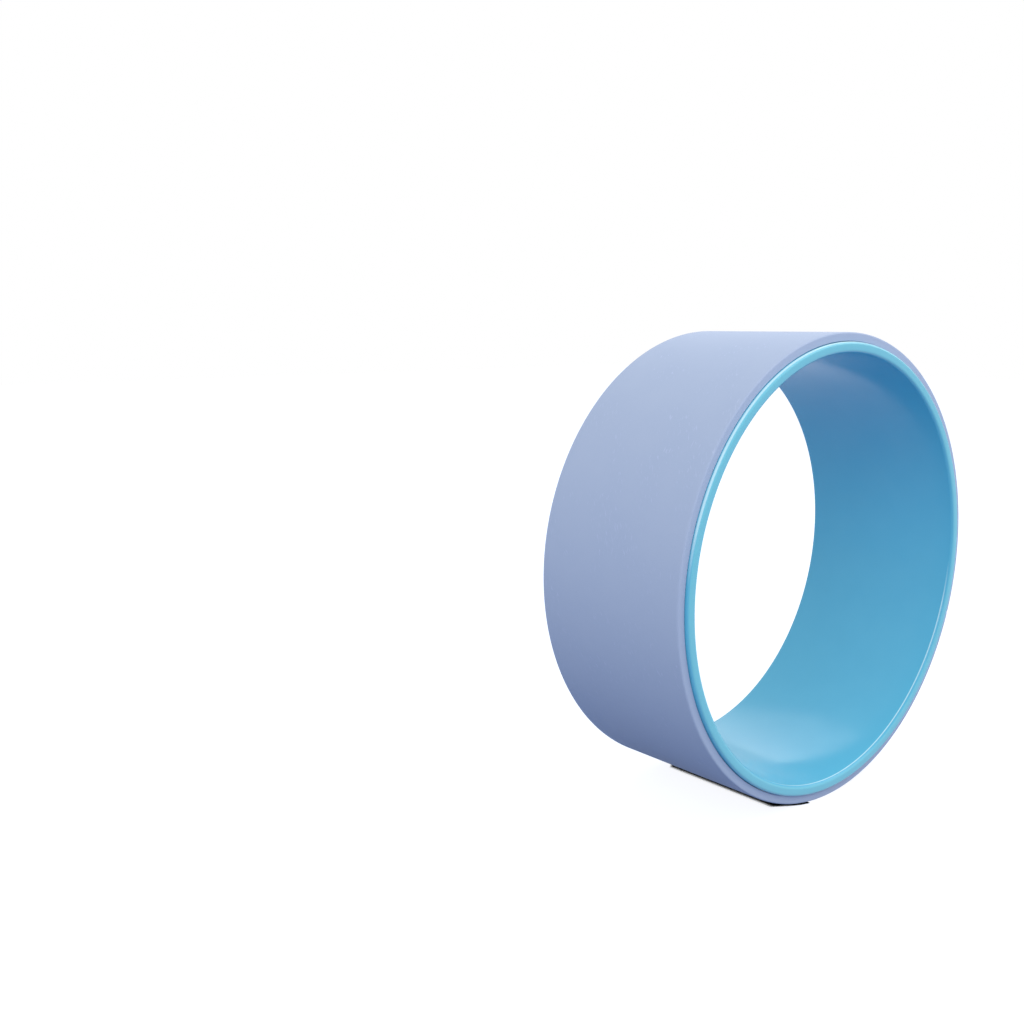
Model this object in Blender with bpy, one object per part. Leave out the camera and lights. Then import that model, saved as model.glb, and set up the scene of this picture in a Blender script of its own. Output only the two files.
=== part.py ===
"""Back roller wheel: a rigid plastic ring with a foam strip bonded round its tread.

The wheel stands on its tread, with its axis along Y and +Z up. The origin is the wheel's centre, on the
axis and midway between the ring's two ends. All lengths are in metres.
"""

import math

import bmesh
import bpy
from mathutils import Matrix, Vector

# Driving dimensions
WHEEL_DIAMETER = 0.330
RING_WIDTH = 0.128
RING_WALL = 0.0075
RING_TREAD_EDGE_RADIUS = 0.0020
RING_BORE_EDGE_RADIUS = 0.0025
PAD_THICKNESS = 0.0055
PAD_SETBACK = 0.00275
PAD_EDGE_RADIUS = 0.0008
FILM_THICKNESS = 0.0002
FILM_SETBACK = 0.0020
BOND_CLEARANCE = 0.0003
SEAM_CLEARANCE = 0.0003
SEAM_ANGLE = math.radians(-20.0)

# Fineness of the round shapes
SEGMENTS = 120
EDGE_STEPS = 3
SMOOTH_ANGLE = math.radians(50.0)

# Radii and widths that follow from them
PAD_OUTER_RADIUS = WHEEL_DIAMETER / 2
PAD_INNER_RADIUS = PAD_OUTER_RADIUS - PAD_THICKNESS
FILM_OUTER_RADIUS = PAD_INNER_RADIUS - BOND_CLEARANCE
FILM_INNER_RADIUS = FILM_OUTER_RADIUS - FILM_THICKNESS
RING_OUTER_RADIUS = FILM_INNER_RADIUS - BOND_CLEARANCE
RING_INNER_RADIUS = RING_OUTER_RADIUS - RING_WALL
PAD_WIDTH = RING_WIDTH - 2 * PAD_SETBACK
FILM_WIDTH = PAD_WIDTH - 2 * FILM_SETBACK

# Directions round the wheel's axis, measured from +X towards +Z
FULL_TURN = 2 * math.pi
SEGMENT_ANGLE = FULL_TURN / SEGMENTS
BOTTOM_ANGLE = math.radians(-90.0)
WHEEL_AXIS = Vector((0.0, 1.0, 0.0))

# Largest share of a wall that one rounded edge may take
EDGE_SHARE = 0.45

# Colours as sRGB hex, with roughness
RING_FINISH = ("#5FC0DE", 0.22)
FILM_FINISH = ("#E4E0D2", 0.55)
PAD_FINISH = ("#9FB0DB", 0.80)


def clear_scene():
    """Remove every object, so that the model starts from nothing."""
    for item in list(bpy.data.objects):
        bpy.data.objects.remove(item, do_unlink=True)


def linear_colour(hex_code):
    """Turn an sRGB hex code into the linear colour that a shader takes."""
    channels = [int(hex_code[start:start + 2], 16) / 255 for start in (1, 3, 5)]
    linear = [
        channel / 12.92 if channel <= 0.04045 else ((channel + 0.055) / 1.055) ** 2.4
        for channel in channels
    ]
    return (*linear, 1.0)


def plastic(name, finish):
    """Make a non-metal material from its colour and roughness."""
    hex_code, roughness = finish
    material = bpy.data.materials.new(name)
    material.use_nodes = True
    shader = material.node_tree.nodes["Principled BSDF"]
    shader.inputs["Base Color"].default_value = linear_colour(hex_code)
    shader.inputs["Roughness"].default_value = roughness
    shader.inputs["Metallic"].default_value = 0.0
    return material


def corner_angle_near(angle):
    """Return the corner between two facets that lies nearest to an angle.

    Facets are laid out from the wheel's lowest point, so that the tread always stands on a flat facet.
    """
    first_corner = BOTTOM_ANGLE + SEGMENT_ANGLE / 2
    return first_corner + SEGMENT_ANGLE * round((angle - first_corner) / SEGMENT_ANGLE)


def add_section(mesh, inner_radius, outer_radius, width, inner_edge, outer_edge):
    """Draw a wall's cross-section in the XY plane, with X as the radius and Y along the wheel's axis.

    The last two values are the radii of the rounded edges on the inner and the outer side.
    """
    half = width / 2
    largest_edge = EDGE_SHARE * (outer_radius - inner_radius)
    inner_rounding = min(inner_edge, largest_edge)
    outer_rounding = min(outer_edge, largest_edge)
    corners = [
        (inner_radius, -half, inner_rounding),
        (outer_radius, -half, outer_rounding),
        (outer_radius, half, outer_rounding),
        (inner_radius, half, inner_rounding),
    ]
    verts = [mesh.verts.new((radius, along, 0.0)) for radius, along, _ in corners]
    mesh.faces.new(verts)
    for vert, (_, _, rounding) in zip(verts, corners):
        if rounding > 0:
            bmesh.ops.bevel(
                mesh,
                geom=[vert],
                affect="VERTICES",
                offset=rounding,
                segments=EDGE_STEPS,
                profile=0.5,
            )


def turn_about_axis(mesh, start, sweep, closed):
    """Turn the section about the wheel's axis, from a start angle through a sweep.

    A closed ring needs no end faces, and an open strip keeps the section as its two end faces.
    """
    bmesh.ops.rotate(mesh, verts=mesh.verts[:], matrix=Matrix.Rotation(-start, 3, WHEEL_AXIS))
    if closed:
        bmesh.ops.delete(mesh, geom=mesh.faces[:], context="FACES_ONLY")
    bmesh.ops.spin(
        mesh,
        geom=mesh.verts[:] + mesh.edges[:] + mesh.faces[:],
        cent=(0.0, 0.0, 0.0),
        axis=-WHEEL_AXIS,
        angle=sweep,
        steps=SEGMENTS,
        use_merge=closed,
    )
    bmesh.ops.recalc_face_normals(mesh, faces=mesh.faces[:])


def finish_object(name, mesh, finish):
    """Turn a bmesh into a named, smooth-shaded object with its own material."""
    data = bpy.data.meshes.new(name)
    mesh.to_mesh(data)
    mesh.free()
    data.shade_smooth()
    data.set_sharp_from_angle(angle=SMOOTH_ANGLE)
    data.materials.append(plastic(name, finish))
    item = bpy.data.objects.new(name, data)
    bpy.context.scene.collection.objects.link(item)
    return item


def build_core_ring():
    """Rigid moulded ring that carries the load, open at both ends, with rounded edges."""
    mesh = bmesh.new()
    add_section(
        mesh,
        RING_INNER_RADIUS,
        RING_OUTER_RADIUS,
        RING_WIDTH,
        RING_BORE_EDGE_RADIUS,
        RING_TREAD_EDGE_RADIUS,
    )
    turn_about_axis(mesh, corner_angle_near(SEAM_ANGLE), FULL_TURN, closed=True)
    return finish_object("core_ring", mesh, RING_FINISH)


def build_strip(name, inner_radius, outer_radius, width, outer_edge, finish):
    """Strip that is wrapped once round the ring, with its two ends butted at the seam."""
    seam_gap_angle = SEAM_CLEARANCE / outer_radius
    mesh = bmesh.new()
    add_section(mesh, inner_radius, outer_radius, width, 0.0, outer_edge)
    turn_about_axis(
        mesh,
        corner_angle_near(SEAM_ANGLE) + seam_gap_angle / 2,
        FULL_TURN - seam_gap_angle,
        closed=False,
    )
    return finish_object(name, mesh, finish)


def build_adhesive_film():
    """Bonding film between the ring and the foam, a little narrower than the foam."""
    return build_strip("adhesive_film", FILM_INNER_RADIUS, FILM_OUTER_RADIUS, FILM_WIDTH, 0.0, FILM_FINISH)


def build_foam_pad():
    """Foam cushion on the tread, set back from both ends of the ring."""
    return build_strip(
        "foam_pad",
        PAD_INNER_RADIUS,
        PAD_OUTER_RADIUS,
        PAD_WIDTH,
        PAD_EDGE_RADIUS,
        PAD_FINISH,
    )


def main():
    """Build the wheel from the inside out."""
    clear_scene()
    build_core_ring()
    build_adhesive_film()
    build_foam_pad()


main()
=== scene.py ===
"""Looks of the back roller wheel: a glossy moulded ring, its bonding film and a skinned foam pad.

The wheel stands on a pale studio floor, with its axis along Y. Lengths are in metres, unless a name says
otherwise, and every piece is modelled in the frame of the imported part.
"""

import logging
import math
from dataclasses import dataclass
from enum import Enum

import bmesh
import bpy
from mathutils import Euler, Matrix, Vector, noise


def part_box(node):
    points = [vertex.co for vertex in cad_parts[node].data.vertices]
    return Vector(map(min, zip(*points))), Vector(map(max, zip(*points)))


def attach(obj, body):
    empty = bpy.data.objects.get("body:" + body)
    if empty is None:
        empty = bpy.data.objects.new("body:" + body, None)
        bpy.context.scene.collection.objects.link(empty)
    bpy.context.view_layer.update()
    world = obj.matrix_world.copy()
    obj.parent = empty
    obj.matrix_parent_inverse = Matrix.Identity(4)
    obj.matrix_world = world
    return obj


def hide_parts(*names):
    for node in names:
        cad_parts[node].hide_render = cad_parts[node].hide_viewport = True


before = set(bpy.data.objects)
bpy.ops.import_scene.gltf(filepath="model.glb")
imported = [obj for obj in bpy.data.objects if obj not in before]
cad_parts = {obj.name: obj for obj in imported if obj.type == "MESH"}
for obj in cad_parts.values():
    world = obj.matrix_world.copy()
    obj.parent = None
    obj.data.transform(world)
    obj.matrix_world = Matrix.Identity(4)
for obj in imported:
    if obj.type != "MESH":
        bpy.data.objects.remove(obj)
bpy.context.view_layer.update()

LOG = logging.getLogger("wheel")
BODY = "root"

MM = 0.001
FULL_TURN = 2 * math.pi
WHEEL_AXIS = Vector((0.0, 1.0, 0.0))

# Places closer together than this are one place
SAME_PLACE = 1e-6

# Edges sharper than this stay sharp
SMOOTH_ANGLE = math.radians(40.0)

# The butt seam of film and pad lies where the solids have theirs, measured from +X towards +Z
SEAM_ANGLE = math.radians(-19.5)
SEAM_GAP = 0.3 * MM

# Share of a bump's height that is drawn on every finish
BUMP_STRENGTH = 0.5

BLACK = (0.0, 0.0, 0.0, 1.0)
WHITE = (1.0, 1.0, 1.0, 1.0)


class Corner(Enum):
    """The two kinds of corner in a wall's cross-section."""

    BORE_SIDE = "bore side"
    TREAD_SIDE = "tread side"


def linear_colour(hex_code: str) -> tuple[float, float, float, float]:
    """Turn an sRGB hex code into a linear colour.

    Args:
        hex_code: The colour, such as "#6CC4EE".

    Returns:
        Red, green, blue and alpha, as a shader takes them.
    """
    channels = [int(hex_code[start:start + 2], 16) / 255 for start in (1, 3, 5)]
    linear = [
        channel / 12.92 if channel <= 0.04045 else ((channel + 0.055) / 1.055) ** 2.4
        for channel in channels
    ]
    return (*linear, 1.0)


def add_node(
    tree: bpy.types.NodeTree,
    kind: str,
    settings: dict[str, object] | None = None,
    inputs: dict[str | int, object] | None = None,
    links: dict[str | int, bpy.types.NodeSocket] | None = None,
) -> bpy.types.Node:
    """Add a node with its settings, its socket values and the links into it.

    Args:
        tree: The tree that the node is added to.
        kind: The node's type name in Blender.
        settings: Attributes of the node itself.
        inputs: Values of its input sockets, by name or number.
        links: Output sockets that feed its input sockets, by name or number.

    Returns:
        The new node.
    """
    node = tree.nodes.new(kind)
    for name, value in (settings or {}).items():
        setattr(node, name, value)
    for socket, value in (inputs or {}).items():
        node.inputs[socket].default_value = value
    for socket, source in (links or {}).items():
        tree.links.new(source, node.inputs[socket])
    return node


def new_material(name: str) -> bpy.types.Material:
    """Make a material whose node tree is still empty.

    Args:
        name: The material's name.

    Returns:
        The new material.
    """
    material = bpy.data.materials.new(name)
    material.use_nodes = True
    material.node_tree.nodes.clear()
    return material


def on_ends(
    tree: bpy.types.NodeTree, place: bpy.types.NodeSocket, start_mm: float, blend_mm: float
) -> bpy.types.NodeSocket:
    """Tell the wheel's two end faces apart from what lies between them.

    Args:
        tree: The tree that needs the factor.
        place: Object coordinates.
        start_mm: Distance from the wheel's middle, along the axis, where the factor leaves 0.
        blend_mm: Distance over which it rises to 1.

    Returns:
        A factor that is 1 on the end faces and 0 elsewhere.
    """
    along = add_node(tree, "ShaderNodeSeparateXYZ", links={"Vector": place}).outputs["Y"]
    reach = add_node(tree, "ShaderNodeMath", settings={"operation": "ABSOLUTE"}, links={0: along})
    rise = add_node(
        tree,
        "ShaderNodeMapRange",
        inputs={"From Min": start_mm * MM, "From Max": start_mm * MM + blend_mm * MM},
        links={"Value": reach.outputs["Value"]},
    )
    return rise.outputs["Result"]


def seen_directly(tree: bpy.types.NodeTree) -> bpy.types.NodeSocket:
    """Tell rays that show a surface apart from rays that only carry its light.

    Args:
        tree: The tree that needs the factor.

    Returns:
        A factor that is 1 for camera, glossy and transmission rays, and 0 for the rest.
    """
    path = add_node(tree, "ShaderNodeLightPath")
    seen = path.outputs["Is Camera Ray"]
    for other in ("Is Glossy Ray", "Is Transmission Ray"):
        seen = add_node(
            tree,
            "ShaderNodeMath",
            settings={"operation": "MAXIMUM"},
            links={0: seen, 1: path.outputs[other]},
        ).outputs["Value"]
    return seen


@dataclass(frozen=True)
class Grain:
    """The look of a noise pattern.

    Attributes:
        size_mm: Size of its patches.
        detail: How many layers of finer noise lie over them.
        roughness: How strong each finer layer is.
    """

    size_mm: float
    detail: float = 2.0
    roughness: float = 0.5

    def inputs(self) -> dict[str, float]:
        """Give the socket values of its noise node."""
        return {"Scale": 1 / (self.size_mm * MM), "Detail": self.detail, "Roughness": self.roughness}


@dataclass(frozen=True)
class MouldedAbs:
    """Injection-moulded ABS from a polished tool: a clean colour, a soft gloss and faint orange peel.

    Attributes:
        colour: Its colour.
        shade: The slightly deeper colour of its flow marks.
        flow_marks: Broad, faint patches that the melt leaves.
        flow_levels: Noise levels between which the gloss swings.
        roughness: Its mean roughness.
        roughness_swing: How far the roughness swings between patches.
        ior: Lower than the 1.54 that ABS has, to match the ring's weak reflections.
        lit_end_colour: Paler colour of its end faces, painted light that brightens them beyond what the
            lamps give.
        end_from_mm: Distance from the wheel's middle where the end faces start.
        end_blend_mm: Distance over which one colour passes into the other.
        highlight_colour: Colour of the painted highlights along the edges.
        highlight_core: Share of a painted highlight's reach that is at full strength.
        highlight_facing: Upward parts of the normal between which the painted highlight comes in.
        outer_edge_mm: Radius and distance along the axis of the outer edge, on both ends.
        outer_highlight_reach_mm: Reach of the painted highlight there.
        bore_edge_mm: Radius and place along the axis of the bore's edge, on the near end alone.
        bore_highlight_reach_mm: Reach of the painted highlight there.
        orange_peel: Shallow waves that bend reflections a little.
        orange_peel_height_mm: Height of those waves.
    """

    colour: str = "#63BCDB"
    shade: str = "#5FB8D8"
    flow_marks: Grain = Grain(22.0)
    flow_levels: tuple[float, float] = (0.3, 0.7)
    roughness: float = 0.19
    roughness_swing: float = 0.06
    ior: float = 1.35
    lit_end_colour: str = "#78CDE1"
    end_from_mm: float = 63.2
    end_blend_mm: float = 0.6
    highlight_colour: str = "#C4EDF8"
    highlight_core: float = 0.3
    highlight_facing: tuple[float, float] = (0.08, 0.3)
    outer_edge_mm: tuple[float, float] = (158.6, 62.5)
    outer_highlight_reach_mm: float = 1.3
    bore_edge_mm: tuple[float, float] = (151.3, -61.9)
    bore_highlight_reach_mm: float = 0.6
    orange_peel: Grain = Grain(5.0, detail=1.0, roughness=0.4)
    orange_peel_height_mm: float = 0.012

    def material(self) -> bpy.types.Material:
        """Build the shader.

        Returns:
            The ring's material.
        """
        material = new_material("moulded_abs_gloss")
        tree = material.node_tree
        place = add_node(tree, "ShaderNodeTexCoord").outputs["Object"]
        flow = add_node(
            tree, "ShaderNodeTexNoise", inputs=self.flow_marks.inputs(), links={"Vector": place}
        )
        gloss = add_node(
            tree,
            "ShaderNodeMapRange",
            inputs={
                "From Min": self.flow_levels[0],
                "From Max": self.flow_levels[1],
                "To Min": self.roughness - self.roughness_swing / 2,
                "To Max": self.roughness + self.roughness_swing / 2,
            },
            links={"Value": flow.outputs["Fac"]},
        )
        peel = add_node(
            tree, "ShaderNodeTexNoise", inputs=self.orange_peel.inputs(), links={"Vector": place}
        )
        relief = add_node(
            tree,
            "ShaderNodeBump",
            inputs={"Strength": BUMP_STRENGTH, "Distance": self.orange_peel_height_mm * MM},
            links={"Height": peel.outputs["Fac"]},
        )
        shader = add_node(
            tree,
            "ShaderNodeBsdfPrincipled",
            inputs={"IOR": self.ior},
            links={
                "Base Color": self.tone(tree, place, flow.outputs["Fac"]),
                "Roughness": gloss.outputs["Result"],
                "Normal": relief.outputs["Normal"],
            },
        )
        add_node(tree, "ShaderNodeOutputMaterial", links={"Surface": shader.outputs["BSDF"]})
        return material

    def tone(
        self, tree: bpy.types.NodeTree, place: bpy.types.NodeSocket, flow: bpy.types.NodeSocket
    ) -> bpy.types.NodeSocket:
        """Lay the painted light of the paler end faces and the painted edge highlights over the moulded
        colour.

        Args:
            tree: The ring's shader tree.
            place: Object coordinates.
            flow: Noise level of the flow marks.

        Returns:
            The surface's colour.
        """
        tint = add_node(
            tree,
            "ShaderNodeMix",
            settings={"data_type": "RGBA"},
            inputs={"A": linear_colour(self.colour), "B": linear_colour(self.shade)},
            links={"Factor": flow},
        )
        # End faces: painted paler, as painted light that brightens them beyond what the lamps give
        lightened_ends = add_node(
            tree,
            "ShaderNodeMix",
            settings={"data_type": "RGBA"},
            inputs={"B": linear_colour(self.lit_end_colour)},
            links={
                "Factor": on_ends(tree, place, self.end_from_mm, self.end_blend_mm),
                "A": tint.outputs["Result"],
            },
        )
        # Painted highlights: a thin pale line on the upward-facing edges, standing in for the light that
        # they catch
        highlighted = add_node(
            tree,
            "ShaderNodeMix",
            settings={"data_type": "RGBA"},
            inputs={"B": linear_colour(self.highlight_colour)},
            links={"Factor": self.wear_and_highlights(tree, place), "A": lightened_ends.outputs["Result"]},
        )
        return highlighted.outputs["Result"]

    def wear_and_highlights(self, tree: bpy.types.NodeTree, place: bpy.types.NodeSocket) -> bpy.types.NodeSocket:
        """Find the edges that face up as the wheel stands, where a thin pale line is painted as the
        highlight that light from above gives them.

        Args:
            tree: The ring's shader tree.
            place: Object coordinates.

        Returns:
            A factor that is 1 along such an edge and 0 away from it.
        """
        axes = add_node(tree, "ShaderNodeSeparateXYZ", links={"Vector": place})
        flat = add_node(
            tree, "ShaderNodeCombineXYZ", links={"X": axes.outputs["X"], "Y": axes.outputs["Z"]}
        )
        radius = add_node(
            tree,
            "ShaderNodeVectorMath",
            settings={"operation": "LENGTH"},
            links={0: flat.outputs["Vector"]},
        )
        either_end = add_node(
            tree, "ShaderNodeMath", settings={"operation": "ABSOLUTE"}, links={0: axes.outputs["Y"]}
        )
        outer_section = add_node(
            tree,
            "ShaderNodeCombineXYZ",
            links={"X": radius.outputs["Value"], "Y": either_end.outputs["Value"]},
        )
        bore_section = add_node(
            tree, "ShaderNodeCombineXYZ", links={"X": radius.outputs["Value"], "Y": axes.outputs["Y"]}
        )
        outer = self.near_edge(
            tree, outer_section.outputs["Vector"], self.outer_edge_mm, self.outer_highlight_reach_mm
        )
        bore = self.near_edge(
            tree, bore_section.outputs["Vector"], self.bore_edge_mm, self.bore_highlight_reach_mm
        )
        either_edge = add_node(
            tree, "ShaderNodeMath", settings={"operation": "MAXIMUM"}, links={0: outer, 1: bore}
        )
        # Only edges that face up take the painted highlight, as light falls from above
        normal = add_node(tree, "ShaderNodeTexCoord").outputs["Normal"]
        upward = add_node(tree, "ShaderNodeSeparateXYZ", links={"Vector": normal}).outputs["Z"]
        lit_from_above = add_node(
            tree,
            "ShaderNodeMapRange",
            inputs={"From Min": self.highlight_facing[0], "From Max": self.highlight_facing[1]},
            links={"Value": upward},
        )
        highlighted = add_node(
            tree,
            "ShaderNodeMath",
            settings={"operation": "MULTIPLY"},
            links={0: either_edge.outputs["Value"], 1: lit_from_above.outputs["Result"]},
        )
        return highlighted.outputs["Value"]

    def near_edge(
        self,
        tree: bpy.types.NodeTree,
        section: bpy.types.NodeSocket,
        edge_mm: tuple[float, float],
        reach_mm: float,
    ) -> bpy.types.NodeSocket:
        """Find what lies close to one edge in the ring's cross-section.

        Args:
            tree: The ring's shader tree.
            section: Places in the cross-section, radius first and then along the axis, in metres.
            edge_mm: The edge's place there.
            reach_mm: How far from the edge the painted highlight reaches.

        Returns:
            A factor that is 1 at the edge and 0 beyond its reach.
        """
        radius, along = edge_mm
        distance = add_node(
            tree,
            "ShaderNodeVectorMath",
            settings={"operation": "DISTANCE"},
            inputs={1: (radius * MM, along * MM, 0.0)},
            links={0: section},
        )
        highlight_fade = add_node(
            tree,
            "ShaderNodeMapRange",
            inputs={
                "From Min": self.highlight_core * reach_mm * MM,
                "From Max": reach_mm * MM,
                "To Min": 1.0,
                "To Max": 0.0,
            },
            links={"Value": distance.outputs["Value"]},
        )
        return highlight_fade.outputs["Result"]


@dataclass(frozen=True)
class SkinnedTpeFoam:
    """Closed-cell TPE foam with a heat-formed skin: matt, finely pitted, with a few pale rub marks.

    Attributes:
        colour: Its colour.
        shade: The slightly deeper colour that it is mottled with.
        mottle: Broad, faint patches.
        roughness: Its roughness.
        specular_level: Low, because the pits swallow most of the gloss.
        sheen: Faint, for the light that the pitted skin catches at a grazing angle.
        sheen_roughness: How broad that sheen is.
        ior: Its index of refraction.
        lit_cut_colour: Paler colour of its cut ends, painted light that brings them up to the tread's
            brightness.
        cut_from_mm: Distance from the wheel's middle where they start.
        cut_blend_mm: Distance over which one colour passes into the other.
        rubbed: Colour of the rub marks.
        scuff_mm: Length and width of a rub mark.
        scuff_slant: Angle of the slanted ones from the tread's running direction.
        scuff_rarity: Noise level above which a mark along the tread shows.
        slanted_rarity: The same for the slanted ones.
        scuff_edge: Range of levels over which a mark comes in.
        scuffed_levels: Levels of the mottle between which marks come in.
        cell_mm: Size of a cell; real ones are 0.2 to 0.4 mm, drawn coarser so that they show.
        cell_smoothness: How softly one cell passes into the next.
        cell_depth_mm: Depth of a pit.
    """

    colour: str = "#ACBBD6"
    shade: str = "#A6B6D3"
    mottle: Grain = Grain(30.0, detail=3.0, roughness=0.55)
    roughness: float = 0.75
    specular_level: float = 0.2
    sheen: float = 0.04
    sheen_roughness: float = 0.45
    ior: float = 1.45
    lit_cut_colour: str = "#B0BFDA"
    cut_from_mm: float = 60.7
    cut_blend_mm: float = 0.5
    rubbed: str = "#B5C2DF"
    scuff_mm: tuple[float, float] = (6.0, 0.9)
    scuff_slant: float = math.radians(28.0)
    scuff_rarity: float = 0.80
    slanted_rarity: float = 0.77
    scuff_edge: float = 0.08
    scuffed_levels: tuple[float, float] = (0.45, 0.60)
    cell_mm: float = 1.1
    cell_smoothness: float = 0.6
    cell_depth_mm: float = 0.05

    def material(self) -> bpy.types.Material:
        """Build the shader.

        Returns:
            The pad's material.
        """
        material = new_material("skinned_tpe_foam")
        tree = material.node_tree
        place = add_node(tree, "ShaderNodeTexCoord").outputs["Object"]
        cells = add_node(
            tree,
            "ShaderNodeTexVoronoi",
            settings={"feature": "SMOOTH_F1"},
            inputs={"Scale": 1 / (self.cell_mm * MM), "Smoothness": self.cell_smoothness},
            links={"Vector": place},
        )
        relief = add_node(
            tree,
            "ShaderNodeBump",
            inputs={"Strength": BUMP_STRENGTH, "Distance": self.cell_depth_mm * MM},
            links={"Height": cells.outputs["Distance"]},
        )
        shader = add_node(
            tree,
            "ShaderNodeBsdfPrincipled",
            inputs={
                "IOR": self.ior,
                "Roughness": self.roughness,
                "Specular IOR Level": self.specular_level,
                "Sheen Weight": self.sheen,
                "Sheen Roughness": self.sheen_roughness,
            },
            links={"Base Color": self.tone(tree, place), "Normal": relief.outputs["Normal"]},
        )
        add_node(tree, "ShaderNodeOutputMaterial", links={"Surface": shader.outputs["BSDF"]})
        return material

    def tone(self, tree: bpy.types.NodeTree, place: bpy.types.NodeSocket) -> bpy.types.NodeSocket:
        """Lay the rub marks, and the painted light of the paler cut ends, over the mottled skin.

        Args:
            tree: The pad's shader tree.
            place: Object coordinates.

        Returns:
            The surface's colour.
        """
        mottle = add_node(
            tree, "ShaderNodeTexNoise", inputs=self.mottle.inputs(), links={"Vector": place}
        )
        base = add_node(
            tree,
            "ShaderNodeMix",
            settings={"data_type": "RGBA"},
            inputs={"A": linear_colour(self.colour), "B": linear_colour(self.shade)},
            links={"Factor": mottle.outputs["Fac"]},
        )
        skin = add_node(
            tree,
            "ShaderNodeMix",
            settings={"data_type": "RGBA"},
            inputs={"B": linear_colour(self.rubbed)},
            links={"Factor": self.wear_and_highlights(tree, mottle.outputs["Fac"]), "A": base.outputs["Result"]},
        )
        # Cut ends: painted paler, as painted light that brings them up to the tread's brightness
        lightened_ends = add_node(
            tree,
            "ShaderNodeMix",
            settings={"data_type": "RGBA"},
            inputs={"B": linear_colour(self.lit_cut_colour)},
            links={
                "Factor": on_ends(tree, place, self.cut_from_mm, self.cut_blend_mm),
                "A": skin.outputs["Result"],
            },
        )
        return lightened_ends.outputs["Result"]

    def wear_and_highlights(self, tree: bpy.types.NodeTree, mottle: bpy.types.NodeSocket) -> bpy.types.NodeSocket:
        """Scatter pale rub marks in patches, some along the tread and some slanted across it.

        Args:
            tree: The pad's shader tree.
            mottle: Noise level of the mottle, whose higher patches take the marks.

        Returns:
            A factor that is 1 on a mark and 0 beside it.
        """
        strip = add_node(tree, "ShaderNodeUVMap", settings={"uv_map": "unrolled"}).outputs["UV"]
        along = self.scuffs(tree, strip, 0.0, self.scuff_rarity)
        slanted = self.scuffs(tree, strip, self.scuff_slant, self.slanted_rarity)
        strokes = add_node(
            tree, "ShaderNodeMath", settings={"operation": "MAXIMUM"}, links={0: along, 1: slanted}
        )
        patches = add_node(
            tree,
            "ShaderNodeMapRange",
            inputs={"From Min": self.scuffed_levels[0], "From Max": self.scuffed_levels[1]},
            links={"Value": mottle},
        )
        scuffed = add_node(
            tree,
            "ShaderNodeMath",
            settings={"operation": "MULTIPLY"},
            links={0: strokes.outputs["Value"], 1: patches.outputs["Result"]},
        )
        return scuffed.outputs["Value"]

    def scuffs(
        self, tree: bpy.types.NodeTree, strip: bpy.types.NodeSocket, slant: float, rarity: float
    ) -> bpy.types.NodeSocket:
        """Scatter short strokes over the strip.

        Args:
            tree: The pad's shader tree.
            strip: Places on the unrolled strip, in metres.
            slant: Angle of the strokes from the tread's running direction.
            rarity: Noise level above which a stroke shows.

        Returns:
            A factor that is 1 on a stroke and 0 beside it.
        """
        length, width = self.scuff_mm
        turned = add_node(
            tree,
            "ShaderNodeMapping",
            inputs={"Rotation": (0.0, 0.0, slant)},
            links={"Vector": strip},
        )
        stretched = add_node(
            tree,
            "ShaderNodeMapping",
            inputs={"Scale": (1 / (length * MM), 1 / (width * MM), 1.0)},
            links={"Vector": turned.outputs["Vector"]},
        )
        grain = add_node(
            tree,
            "ShaderNodeTexNoise",
            settings={"noise_dimensions": "2D"},
            inputs={"Scale": 1.0, "Detail": 0.0},
            links={"Vector": stretched.outputs["Vector"]},
        )
        stroke = add_node(
            tree,
            "ShaderNodeMapRange",
            inputs={"From Min": rarity, "From Max": rarity + self.scuff_edge},
            links={"Value": grain.outputs["Fac"]},
        )
        return stroke.outputs["Result"]


@dataclass(frozen=True)
class AcrylicFilm:
    """Cast acrylic bonding film: off-white, satin, slightly uneven where it was rolled down.

    Attributes:
        colour: Its colour.
        shade: The slightly deeper colour of its roll marks.
        roll_marks: Small patches that the roller leaves.
        roughness: Its roughness.
        ior: Its index of refraction.
    """

    colour: str = "#E4E0D2"
    shade: str = "#D6D1C0"
    roll_marks: Grain = Grain(6.0)
    roughness: float = 0.45
    ior: float = 1.47

    def material(self) -> bpy.types.Material:
        """Build the shader.

        Returns:
            The film's material.
        """
        material = new_material("acrylic_bond_film")
        tree = material.node_tree
        place = add_node(tree, "ShaderNodeTexCoord").outputs["Object"]
        marks = add_node(
            tree, "ShaderNodeTexNoise", inputs=self.roll_marks.inputs(), links={"Vector": place}
        )
        tint = add_node(
            tree,
            "ShaderNodeMix",
            settings={"data_type": "RGBA"},
            inputs={"A": linear_colour(self.colour), "B": linear_colour(self.shade)},
            links={"Factor": marks.outputs["Fac"]},
        )
        shader = add_node(
            tree,
            "ShaderNodeBsdfPrincipled",
            inputs={"IOR": self.ior, "Roughness": self.roughness},
            links={"Base Color": tint.outputs["Result"]},
        )
        add_node(tree, "ShaderNodeOutputMaterial", links={"Surface": shader.outputs["BSDF"]})
        return material


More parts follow.
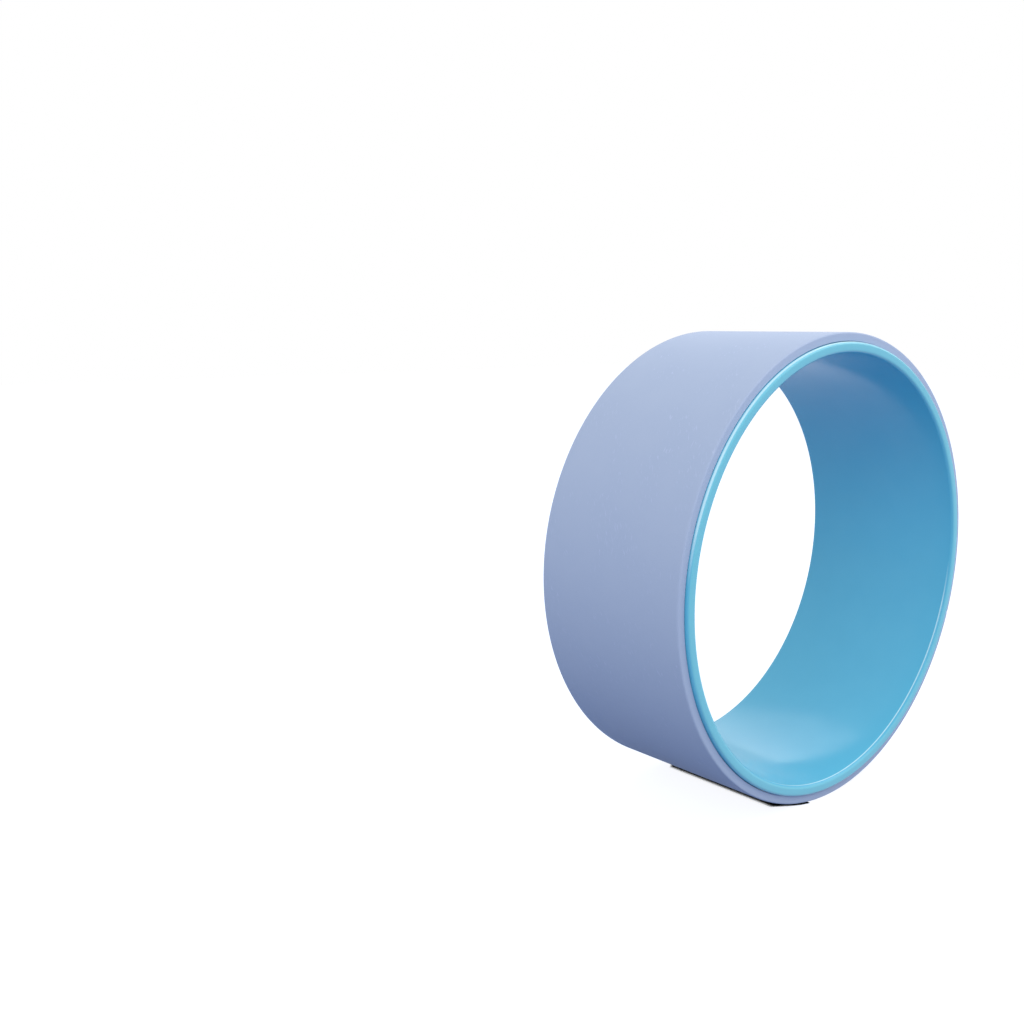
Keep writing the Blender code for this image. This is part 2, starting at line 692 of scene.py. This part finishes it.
@dataclass
class Wall:
    """A wall that is turned round the wheel's axis, from its cross-section.

    Attributes:
        inner_radius: Radius of its inner face.
        outer_radius: Radius of its outer face.
        width: Its length along the axis.
        roundings: Radius of its rounded edges, for each side that has them.
        edge_steps: Facets on each rounding.
        turn_steps: Facets round the full turn.
    """

    inner_radius: float
    outer_radius: float
    width: float
    roundings: dict[Corner, float]
    edge_steps: int = 8
    turn_steps: int = 720

    def section(self) -> bmesh.types.BMesh:
        """Draw the cross-section in the XY plane, with X as the radius.

        Returns:
            A mesh of one face with its corners rounded.
        """
        half = self.width / 2
        corners = [
            (self.inner_radius, -half, Corner.BORE_SIDE),
            (self.outer_radius, -half, Corner.TREAD_SIDE),
            (self.outer_radius, half, Corner.TREAD_SIDE),
            (self.inner_radius, half, Corner.BORE_SIDE),
        ]
        mesh = bmesh.new()
        verts = [mesh.verts.new((radius, along, 0.0)) for radius, along, _ in corners]
        mesh.faces.new(verts)
        for vert, (_, _, side) in zip(verts, corners):
            rounding = self.roundings.get(side, 0.0)
            if rounding > 0.0:
                bmesh.ops.bevel(
                    mesh,
                    geom=[vert],
                    affect="VERTICES",
                    offset=rounding,
                    segments=self.edge_steps,
                    profile=0.5,
                    material=-1,
                )
        return mesh

    def turn(self, mesh: bmesh.types.BMesh, start: float, sweep: float) -> None:
        """Turn the cross-section about the wheel's axis.

        Args:
            mesh: The cross-section, which becomes the wall.
            start: Angle of its first end, from +X towards +Z.
            sweep: Angle that it turns through; a full turn closes the wall.
        """
        closed = sweep == FULL_TURN
        bmesh.ops.rotate(mesh, verts=mesh.verts[:], matrix=Matrix.Rotation(-start, 3, WHEEL_AXIS))
        if closed:
            bmesh.ops.delete(mesh, geom=mesh.faces[:], context="FACES_ONLY")
        bmesh.ops.spin(
            mesh,
            geom=mesh.verts[:] + mesh.edges[:] + mesh.faces[:],
            cent=(0.0, 0.0, 0.0),
            axis=-WHEEL_AXIS,
            angle=sweep,
            steps=self.turn_steps,
            use_merge=closed,
        )
        bmesh.ops.recalc_face_normals(mesh, faces=mesh.faces[:])

    def wrap(self, mesh: bmesh.types.BMesh) -> None:
        """Turn the cross-section once round the axis, as a strip that leaves the butt seam open.

        Args:
            mesh: The cross-section, which becomes the strip.
        """
        gap = SEAM_GAP / self.outer_radius
        self.turn(mesh, SEAM_ANGLE + gap / 2, FULL_TURN - gap)


def node_width(node: str) -> float:
    """Measure a CAD node's length along the wheel's axis."""
    low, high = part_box(node)
    return high.y - low.y


def finish_piece(
    name: str, mesh: bmesh.types.BMesh, material: bpy.types.Material, replaced_node: str
) -> bpy.types.Object:
    """Turn a bmesh into a piece of the wheel that stands for a CAD node.

    Args:
        name: The piece's name.
        mesh: Its shape, in the part's frame.
        material: Its finish.
        replaced_node: The CAD node that it stands for.

    Returns:
        The finished object.
    """
    data = bpy.data.meshes.new(name)
    mesh.to_mesh(data)
    mesh.free()
    data.shade_smooth()
    data.set_sharp_from_angle(angle=SMOOTH_ANGLE)
    data.materials.append(material)
    piece = bpy.data.objects.new(name, data)
    bpy.context.scene.collection.objects.link(piece)
    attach(piece, BODY)
    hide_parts(replaced_node)
    return piece


@dataclass
class CoreRing:
    """The rigid moulded ring, open at both ends, with rounded edges.

    Attributes:
        thickness: Thickness of its wall.
        outer_radius: Radius of its outer face.
        bore_rounding: Radius of its edges at the bore.
        tread_rounding: Radius of its outer edges.
    """

    thickness: float = 7.5 * MM
    outer_radius: float = 158.7 * MM
    bore_rounding: float = 2.5 * MM
    tread_rounding: float = 2.0 * MM

    def build(self, finish: MouldedAbs) -> bpy.types.Object:
        """Model the ring and dress it.

        Args:
            finish: Its finish.

        Returns:
            The ring.
        """
        wall = Wall(
            inner_radius=self.outer_radius - self.thickness,
            outer_radius=self.outer_radius,
            width=node_width("core_ring"),
            roundings={Corner.BORE_SIDE: self.bore_rounding, Corner.TREAD_SIDE: self.tread_rounding},
        )
        mesh = wall.section()
        wall.turn(mesh, 0.0, FULL_TURN)
        return finish_piece("ring_moulding", mesh, finish.material(), "core_ring")


@dataclass
class BondFilm:
    """The film between ring and foam, which fills the space that the solids keep open.

    Attributes:
        inner_radius: Radius of its inner face.
        outer_radius: Radius of its outer face.
        turn_steps: Facets round the full turn, fewer than elsewhere because the film is hidden.
    """

    inner_radius: float = 158.72 * MM
    outer_radius: float = 158.98 * MM
    turn_steps: int = 360

    def build(self, finish: AcrylicFilm) -> bpy.types.Object:
        """Model the film and dress it.

        Args:
            finish: Its finish.

        Returns:
            The film.
        """
        wall = Wall(
            inner_radius=self.inner_radius,
            outer_radius=self.outer_radius,
            width=node_width("adhesive_film"),
            roundings={},
            turn_steps=self.turn_steps,
        )
        mesh = wall.section()
        wall.wrap(mesh)
        return finish_piece("bond_film", mesh, finish.material(), "adhesive_film")


@dataclass
class FoamPad:
    """The foam strip round the tread, wrapped once, with a butt seam.

    Attributes:
        inner_radius: Radius of its inner face.
        outer_radius: Radius of its tread.
        tread_rounding: Radius of its edges at the tread.
        bond_rounding: Radius of its edges at the ring.
        seam_easing: How far the tread sinks at the seam.
        unevenness: How far the tread sinks elsewhere, at most.
        unevenness_length: Length of those waves.
        width_cuts: Cuts across the tread that let it follow them.
    """

    inner_radius: float = 159.0 * MM
    outer_radius: float = 165.0 * MM
    tread_rounding: float = 1.2 * MM
    bond_rounding: float = 0.45 * MM
    seam_easing: float = 0.35 * MM
    unevenness: float = 0.05 * MM
    unevenness_length: float = 45.0 * MM
    width_cuts: int = 24

    def build(self, finish: SkinnedTpeFoam) -> bpy.types.Object:
        """Model the pad and dress it.

        Args:
            finish: Its finish.

        Returns:
            The pad.
        """
        wall = Wall(
            inner_radius=self.inner_radius,
            outer_radius=self.outer_radius,
            width=node_width("foam_pad"),
            roundings={Corner.BORE_SIDE: self.bond_rounding, Corner.TREAD_SIDE: self.tread_rounding},
        )
        mesh = wall.section()
        self.cut_width(mesh)
        wall.wrap(mesh)
        self.ease_ends(mesh)
        self.make_uneven(mesh)
        self.unroll(mesh)
        piece = finish_piece("foam_tread_pad", mesh, finish.material(), "foam_pad")
        return piece

    def cut_width(self, mesh: bmesh.types.BMesh) -> None:
        """Cut the section's outer side, so that the tread can follow the foam's unevenness.

        Args:
            mesh: The pad's cross-section.
        """
        flat = [
            edge
            for edge in mesh.edges
            if all(math.isclose(vert.co.x, self.outer_radius, abs_tol=SAME_PLACE) for vert in edge.verts)
        ]
        bmesh.ops.subdivide_edges(mesh, edges=flat, cuts=self.width_cuts)

    def depth(self, vert: bmesh.types.BMVert) -> tuple[Vector, float]:
        """Find where a vertex lies in the foam's thickness.

        Args:
            vert: The vertex.

        Returns:
            Its direction from the wheel's axis, and a share that is 0 at the bond and 1 at the tread.
        """
        radial = Vector((vert.co.x, 0.0, vert.co.z))
        share = (radial.length - self.inner_radius) / (self.outer_radius - self.inner_radius)
        return radial.normalized(), share

    def ease_ends(self, mesh: bmesh.types.BMesh) -> None:
        """Sink the tread at the strip's two cut ends, where the foam draws back from the knife.

        Args:
            mesh: The wrapped strip.
        """
        # The two cut ends keep the whole section as one face, and every other face has four corners
        ends = {vert for face in mesh.faces if len(face.verts) > 4 for vert in face.verts}
        for vert in ends:
            outwards, share = self.depth(vert)
            vert.co -= outwards * share**3 * self.seam_easing

    def make_uneven(self, mesh: bmesh.types.BMesh) -> None:
        """Sink the tread here and there by a few hundredths of a millimetre, as laid foam does.

        Args:
            mesh: The wrapped strip.
        """
        for vert in mesh.verts:
            outwards, share = self.depth(vert)
            # The noise runs from about -1 to 1, and the tread only sinks
            sunk = 0.5 + 0.5 * noise.noise(vert.co / self.unevenness_length)
            vert.co -= outwards * share * self.unevenness * sunk

    def unroll(self, mesh: bmesh.types.BMesh) -> None:
        """Map the strip as it lay before it was wrapped: metres from the seam, and metres along the axis.

        Args:
            mesh: The wrapped strip.
        """
        flat = mesh.loops.layers.uv.new("unrolled")
        for face in mesh.faces:
            for loop in face.loops:
                place = loop.vert.co
                turned = (math.atan2(place.z, place.x) - SEAM_ANGLE) % FULL_TURN
                loop[flat].uv = (turned * self.outer_radius, place.y)


@dataclass(frozen=True)
class Softbox:
    """One square softbox that points at the wheel.

    Attributes:
        name: Its name.
        azimuth: Direction round the wheel in degrees, 0 being straight in front of its near end.
        elevation: Direction above the horizon in degrees.
        power: Its power in watts.
        size: Its side.
        distance: How far it hangs from the wheel's centre.
    """

    name: str
    azimuth: float
    elevation: float
    power: float
    size: float = 1.6
    distance: float = 2.0

    def hang(self) -> None:
        """Add the lamp to the scene and point it at the wheel."""
        turn, rise = math.radians(self.azimuth), math.radians(self.elevation)
        level = math.cos(rise)
        towards = Vector((math.sin(turn) * level, -math.cos(turn) * level, math.sin(rise)))
        data = bpy.data.lights.new(self.name, "AREA")
        data.shape = "SQUARE"
        data.size = self.size
        data.energy = self.power
        lamp = bpy.data.objects.new(self.name, data)
        lamp.location = self.distance * towards
        lamp.rotation_euler = (-towards).to_track_quat("-Z", "Y").to_euler()
        bpy.context.scene.collection.objects.link(lamp)


@dataclass
class Studio:
    """The pale floor, the soft lamps and the camera.

    Attributes:
        floor_level: Height of the floor.
        floor_size: Side of the floor.
        floor_colour: Colour of its paint, which tints the light that it throws on the wheel.
        floor_lift: Glow that brings the paint up to white for the camera.
        shaded_reach: How far a point on the shaded side looks for the wheel above it.
        shaded_until: Where that side's full reach ends, across the wheel.
        lit_reach: The same reach on the side that the two right-hand lamps light.
        lit_from: Where that side starts.
        end_reach: The same reach at the wheel's two ends.
        end_from: Distance from the wheel's middle where it starts to draw in.
        end_until: Distance where it has drawn in.
        shade_levels: Openness to the sky between which the contact shadow fades to white.
        shade_samples: Samples for that openness.
        surround_strength: Strength of the plain soft light from all round.
        softboxes: The lamps, set to give the shading of the tread and the bore in the photograph.
        camera_place: The camera's place, which is fitted to the wheel's edges as the next three are.
        camera_azimuth: Its turn about the upright.
        camera_pitch: How far it looks down.
        lens_mm: Its focal length.
        sensor_mm: Its sensor's width.
    """

    floor_level: float = -165.1 * MM
    floor_size: float = 12.0
    floor_colour: str = "#7386AA"
    floor_lift: float = 0.92
    shaded_reach: float = 8.2 * MM
    shaded_until: float = -25.0 * MM
    lit_reach: float = 0.1 * MM
    lit_from: float = -17.0 * MM
    end_reach: float = 2.4 * MM
    end_from: float = 47.0 * MM
    end_until: float = 60.0 * MM
    shade_levels: tuple[float, float] = (0.55, 0.65)
    shade_samples: int = 24
    surround_strength: float = 0.8
    softboxes: tuple[Softbox, ...] = (
        Softbox("front_left_softbox", azimuth=-55.0, elevation=34.0, power=13.5),
        Softbox("front_right_softbox", azimuth=60.0, elevation=38.0, power=14.0),
        Softbox("back_right_softbox", azimuth=120.0, elevation=38.0, power=10.0),
    )
    camera_place: tuple[float, float, float] = (-0.66499, -0.49905, 0.17068)
    camera_azimuth: float = math.radians(-40.135)
    camera_pitch: float = math.radians(9.542)
    lens_mm: float = 39.447
    sensor_mm: float = 36.0

    def build(self) -> None:
        """Set up the camera, the floor, the surround and the lamps."""
        self.add_camera()
        self.add_floor()
        self.add_world()
        for softbox in self.softboxes:
            softbox.hang()
        bpy.context.scene.view_settings.view_transform = "Standard"

    def add_camera(self) -> None:
        """Place the camera where the photograph was taken from."""
        data = bpy.data.cameras.new("camera")
        data.lens = self.lens_mm
        data.sensor_width = self.sensor_mm
        camera = bpy.data.objects.new("camera", data)
        camera.location = self.camera_place
        camera.rotation_euler = Euler((math.pi / 2 - self.camera_pitch, 0.0, self.camera_azimuth))
        bpy.context.scene.collection.objects.link(camera)
        bpy.context.scene.camera = camera

    def add_floor(self) -> None:
        """Lay a large pale floor that shows white, and darkens where the wheel shades it."""
        mesh = bmesh.new()
        bmesh.ops.create_grid(mesh, x_segments=1, y_segments=1, size=self.floor_size / 2)
        bmesh.ops.translate(mesh, verts=mesh.verts[:], vec=(0.0, 0.0, self.floor_level))
        data = bpy.data.meshes.new("studio_floor")
        mesh.to_mesh(data)
        mesh.free()
        data.materials.append(self.floor_material())
        floor = bpy.data.objects.new("studio_floor", data)
        bpy.context.scene.collection.objects.link(floor)

    def floor_material(self) -> bpy.types.Material:
        """Matt floor paint, which looks white to the camera and in reflections.

        The white fades out close under the wheel, so that a tight contact shadow stays.

        Returns:
            The floor's material.
        """
        material = new_material("matt_floor_paint")
        tree = material.node_tree
        paint_colour = linear_colour(self.floor_colour)
        paint = add_node(tree, "ShaderNodeBsdfDiffuse", inputs={"Color": paint_colour})
        openness = add_node(
            tree,
            "ShaderNodeAmbientOcclusion",
            settings={"samples": self.shade_samples},
            links={"Distance": self.shade_reach(tree)},
        )
        lift = add_node(
            tree,
            "ShaderNodeMapRange",
            inputs={
                "From Min": self.shade_levels[0],
                "From Max": self.shade_levels[1],
                "To Min": 0.0,
                "To Max": self.floor_lift,
            },
            links={"Value": openness.outputs["AO"]},
        )
        glow = add_node(tree, "ShaderNodeEmission", links={"Strength": lift.outputs["Result"]})
        # Where the white fades out, the paint that the camera sees fades to black with it
        shown_colour = add_node(
            tree,
            "ShaderNodeMix",
            settings={"data_type": "RGBA"},
            inputs={"A": BLACK, "B": paint_colour},
            links={"Factor": lift.outputs["Result"]},
        )
        shown = add_node(tree, "ShaderNodeBsdfDiffuse", links={"Color": shown_colour.outputs["Result"]})
        lifted = add_node(
            tree, "ShaderNodeAddShader", links={0: shown.outputs["BSDF"], 1: glow.outputs["Emission"]}
        )
        mixed = add_node(
            tree,
            "ShaderNodeMixShader",
            links={0: seen_directly(tree), 1: paint.outputs["BSDF"], 2: lifted.outputs["Shader"]},
        )
        add_node(tree, "ShaderNodeOutputMaterial", links={"Surface": mixed.outputs["Shader"]})
        return material

    def shade_reach(self, tree: bpy.types.NodeTree) -> bpy.types.NodeSocket:
        """Work out how far each point of the floor looks for the wheel, which sets the shadow's width.

        It is widest on the side away from the two right-hand lamps, and draws in towards both ends, where
        light gets under the pad from two sides.

        Args:
            tree: The floor's shader tree.

        Returns:
            The reach, in metres.
        """
        place = add_node(tree, "ShaderNodeTexCoord").outputs["Object"]
        axes = add_node(tree, "ShaderNodeSeparateXYZ", links={"Vector": place})
        across = add_node(
            tree,
            "ShaderNodeMapRange",
            inputs={
                "From Min": self.shaded_until,
                "From Max": self.lit_from,
                "To Min": self.shaded_reach,
                "To Max": self.lit_reach,
            },
            links={"Value": axes.outputs["X"]},
        )
        off_middle = add_node(
            tree, "ShaderNodeMath", settings={"operation": "ABSOLUTE"}, links={0: axes.outputs["Y"]}
        )
        along = add_node(
            tree,
            "ShaderNodeMapRange",
            inputs={
                "From Min": self.end_from,
                "From Max": self.end_until,
                "To Min": self.shaded_reach,
                "To Max": self.end_reach,
            },
            links={"Value": off_middle.outputs["Value"]},
        )
        reach = add_node(
            tree,
            "ShaderNodeMath",
            settings={"operation": "MINIMUM"},
            links={0: across.outputs["Result"], 1: along.outputs["Result"]},
        )
        return reach.outputs["Value"]

    def add_world(self) -> None:
        """Surround the wheel with white for the camera, and with plain soft light for the rest."""
        world = bpy.data.worlds.new("studio_surround")
        bpy.context.scene.world = world
        world.use_nodes = True
        tree = world.node_tree
        tree.nodes.clear()
        soft = add_node(
            tree, "ShaderNodeBackground", inputs={"Color": WHITE, "Strength": self.surround_strength}
        )
        white = add_node(tree, "ShaderNodeBackground", inputs={"Color": WHITE, "Strength": 1.0})
        mixed = add_node(
            tree,
            "ShaderNodeMixShader",
            links={
                0: seen_directly(tree),
                1: soft.outputs["Background"],
                2: white.outputs["Background"],
            },
        )
        add_node(tree, "ShaderNodeOutputWorld", links={"Surface": mixed.outputs["Shader"]})


def main() -> None:
    """Build the wheel from the inside out, then the studio."""
    logging.basicConfig(level=logging.INFO, format="%(name)s: %(message)s")
    built = [
        CoreRing().build(MouldedAbs()),
        BondFilm().build(AcrylicFilm()),
        FoamPad().build(SkinnedTpeFoam()),
    ]
    for piece in built:
        LOG.info("%s: %d faces", piece.name, len(piece.data.polygons))
    Studio().build()


if __name__ == "__main__":
    main()
